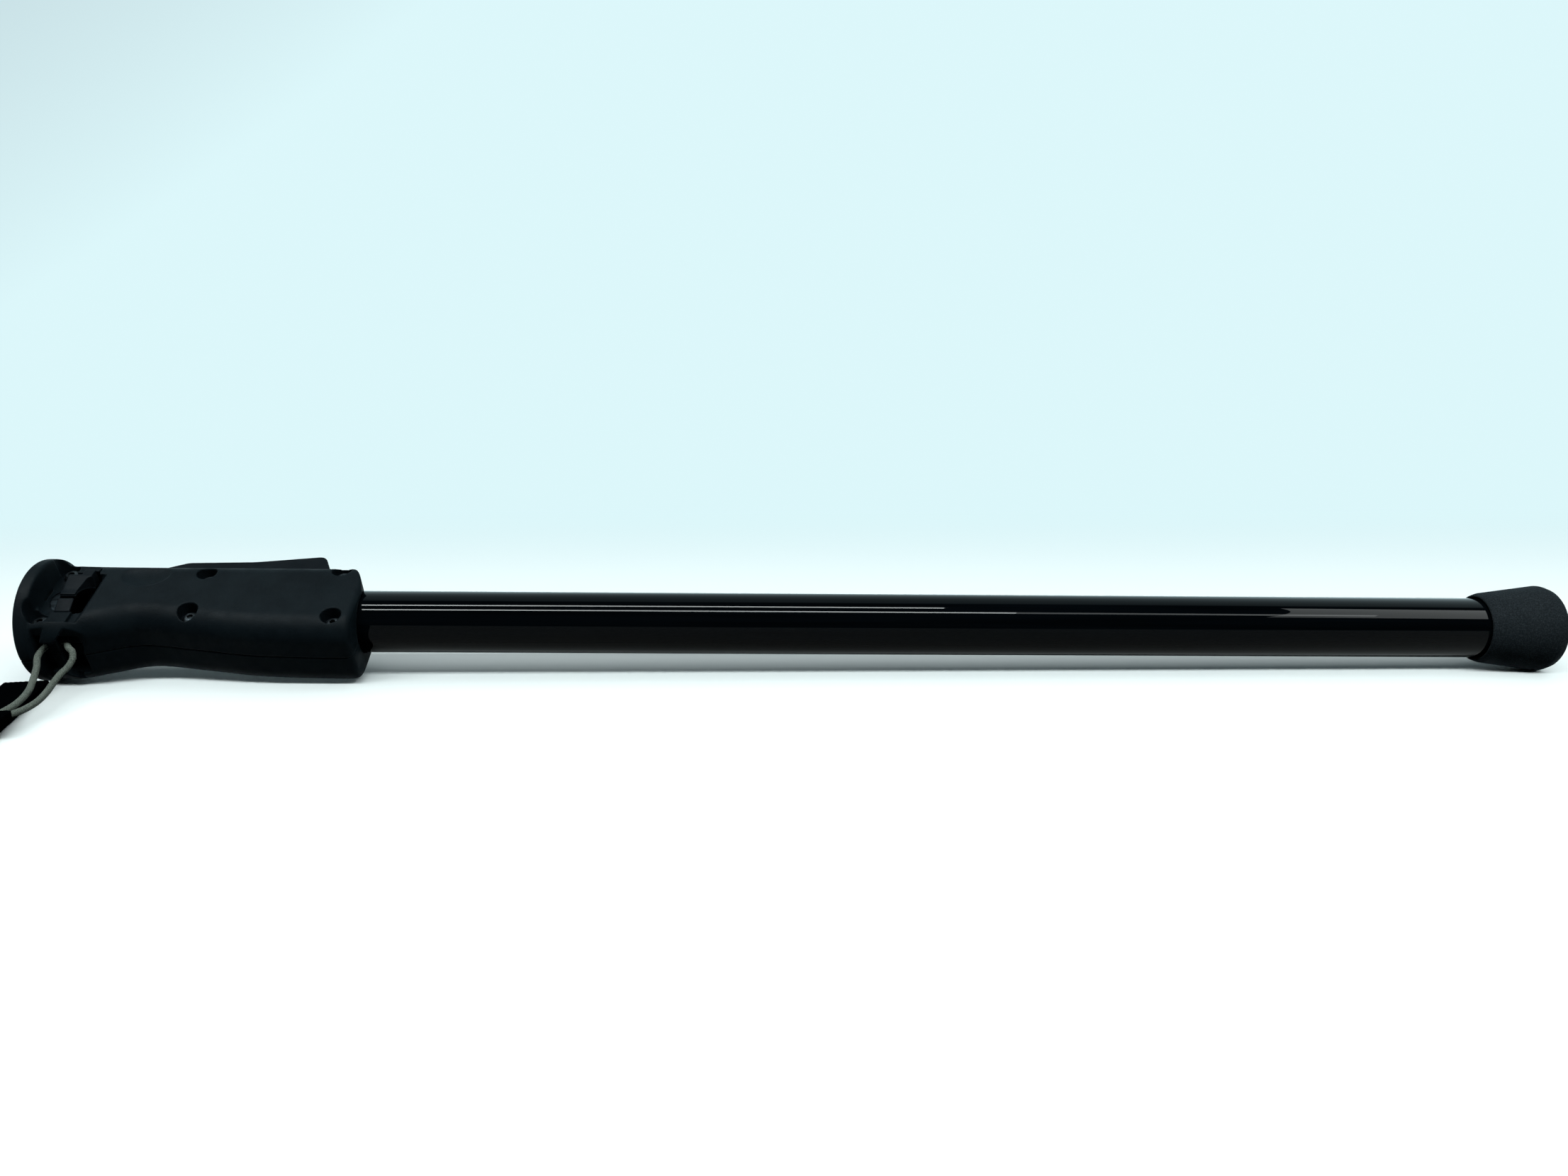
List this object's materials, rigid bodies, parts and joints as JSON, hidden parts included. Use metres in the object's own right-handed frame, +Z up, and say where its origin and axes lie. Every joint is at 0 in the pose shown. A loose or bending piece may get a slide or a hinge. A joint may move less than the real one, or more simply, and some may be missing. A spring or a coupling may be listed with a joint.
{
  "type": "telescoping trigger-grip pole",
  "caption": "Telescoping support pole, stowed: moulded trigger grip with head flange, gloss tube, rubber foot and wrist strap on a braided cord.",
  "frame": {"origin": "middle of the bottom of the bounding box of the pole as it lies, leaving out the lanyard", "axes": "+X along the pole from the head flange to the foot, +Z up as the pole lies on its side"},
  "size_m": [0.7971, 0.2093, 0.0621],
  "materials": {
    "grip_plastic": "fine spark-eroded texture",
    "trigger_plastic": "satin moulded",
    "black_tube": "gloss black anodised",
    "inner_tube": "black anodised",
    "rubber": "matte",
    "dark_steel": "black oxide",
    "alloy": "machined, dark anodised",
    "acetal": "machined",
    "cord": "braided",
    "webbing": "woven nylon"
  },
  "bodies": {
    "handle": {"near_grip_shell": "grip_plastic", "far_grip_shell": "grip_plastic", "shell_screw_1": "dark_steel", "shell_screw_2": "dark_steel", "shell_screw_3": "dark_steel", "shell_screw_4": "dark_steel", "shell_screw_5": "dark_steel", "shell_screw_6": "dark_steel", "head_socket": "alloy", "collar_spring": "dark_steel", "trigger_pin": "dark_steel", "trigger_spring": "dark_steel", "rod_bearing_plate": "acetal", "tube_top_bush": "acetal", "outer_tube": "black_tube", "outer_guide_bush": "acetal", "lanyard_cord": "cord", "wrist_strap": "webbing", "cord_keeper": "webbing"},
    "collar": {"release_collar": "trigger_plastic"},
    "trigger": {"trigger_lever": "trigger_plastic"},
    "rod": {"drive_rod": "dark_steel", "rod_crank": "dark_steel"},
    "middle_leg": {"middle_tube": "inner_tube", "middle_lock_body": "acetal", "middle_guide_bush": "acetal"},
    "sleeve": {"drive_sleeve": "alloy", "middle_lock_cam": "alloy"},
    "middle_shoe_1": {"middle_brake_shoe_1": "rubber"},
    "middle_shoe_2": {"middle_brake_shoe_2": "rubber"},
    "lower_leg": {"lower_tube": "inner_tube", "lower_lock_body": "acetal", "rubber_foot": "rubber"},
    "lower_cam": {"lower_lock_cam": "alloy"},
    "lower_shoe_1": {"lower_brake_shoe_1": "rubber"},
    "lower_shoe_2": {"lower_brake_shoe_2": "rubber"}
  },
  "joints": [
    {"name": "collar_pull", "type": "slide", "parent": "handle", "child": "collar", "axis": [1, 0, 0], "range_m": [0, 0.003], "stiffness_N_per_m": 400, "springref_m": -0.005, "deforming": ["collar_spring"]},
    {"name": "trigger_squeeze", "type": "hinge", "parent": "handle", "child": "trigger", "pos_m": [-0.34665, 0.01164, 0.03999], "axis": [0, 0.4695, -0.8829], "range_deg": [0, 9], "stiffness_Nm_per_rad": 1.2, "springref_deg": -20.05},
    {"name": "rod_turn", "type": "hinge", "parent": "handle", "child": "rod", "pos_m": [-0.3, -0.00514, 0.03107], "axis": [1, 0, 0], "range_deg": [0, 24]},
    {"name": "middle_slide", "type": "slide", "parent": "handle", "child": "middle_leg", "axis": [1, 0, 0], "range_m": [0, 0.406]},
    {"name": "sleeve_turn", "type": "hinge", "parent": "middle_leg", "child": "sleeve", "pos_m": [-0.29, -0.00514, 0.03107], "axis": [1, 0, 0], "range_deg": [0, 24]},
    {"name": "middle_shoe_1_slide", "type": "slide", "parent": "middle_leg", "child": "middle_shoe_1", "axis": [0, 0.8829, 0.4695], "range_m": [-0.00035, 0]},
    {"name": "middle_shoe_2_slide", "type": "slide", "parent": "middle_leg", "child": "middle_shoe_2", "axis": [0, 0.8829, 0.4695], "range_m": [0, 0.00035]},
    {"name": "lower_slide", "type": "slide", "parent": "middle_leg", "child": "lower_leg", "axis": [1, 0, 0], "range_m": [0, 0.406]},
    {"name": "lower_cam_turn", "type": "hinge", "parent": "lower_leg", "child": "lower_cam", "pos_m": [-0.26, -0.00514, 0.03107], "axis": [1, 0, 0], "range_deg": [0, 24]},
    {"name": "lower_shoe_1_slide", "type": "slide", "parent": "lower_leg", "child": "lower_shoe_1", "axis": [0, 0.8829, 0.4695], "range_m": [-0.00035, 0]},
    {"name": "lower_shoe_2_slide", "type": "slide", "parent": "lower_leg", "child": "lower_shoe_2", "axis": [0, 0.8829, 0.4695], "range_m": [0, 0.00035]}
  ],
  "couplings": [
    {"joint": "rod_turn", "follows": "trigger_squeeze", "ratio": 2.4},
    {"joint": "sleeve_turn", "follows": "trigger_squeeze", "ratio": 2.4},
    {"joint": "lower_cam_turn", "follows": "trigger_squeeze", "ratio": 2.4},
    {"joint": "middle_shoe_1_slide", "follows": "trigger_squeeze", "m_per_rad": -0.0019},
    {"joint": "middle_shoe_2_slide", "follows": "trigger_squeeze", "m_per_rad": 0.0019},
    {"joint": "lower_shoe_1_slide", "follows": "trigger_squeeze", "m_per_rad": -0.0019},
    {"joint": "lower_shoe_2_slide", "follows": "trigger_squeeze", "m_per_rad": 0.0019}
  ]
}
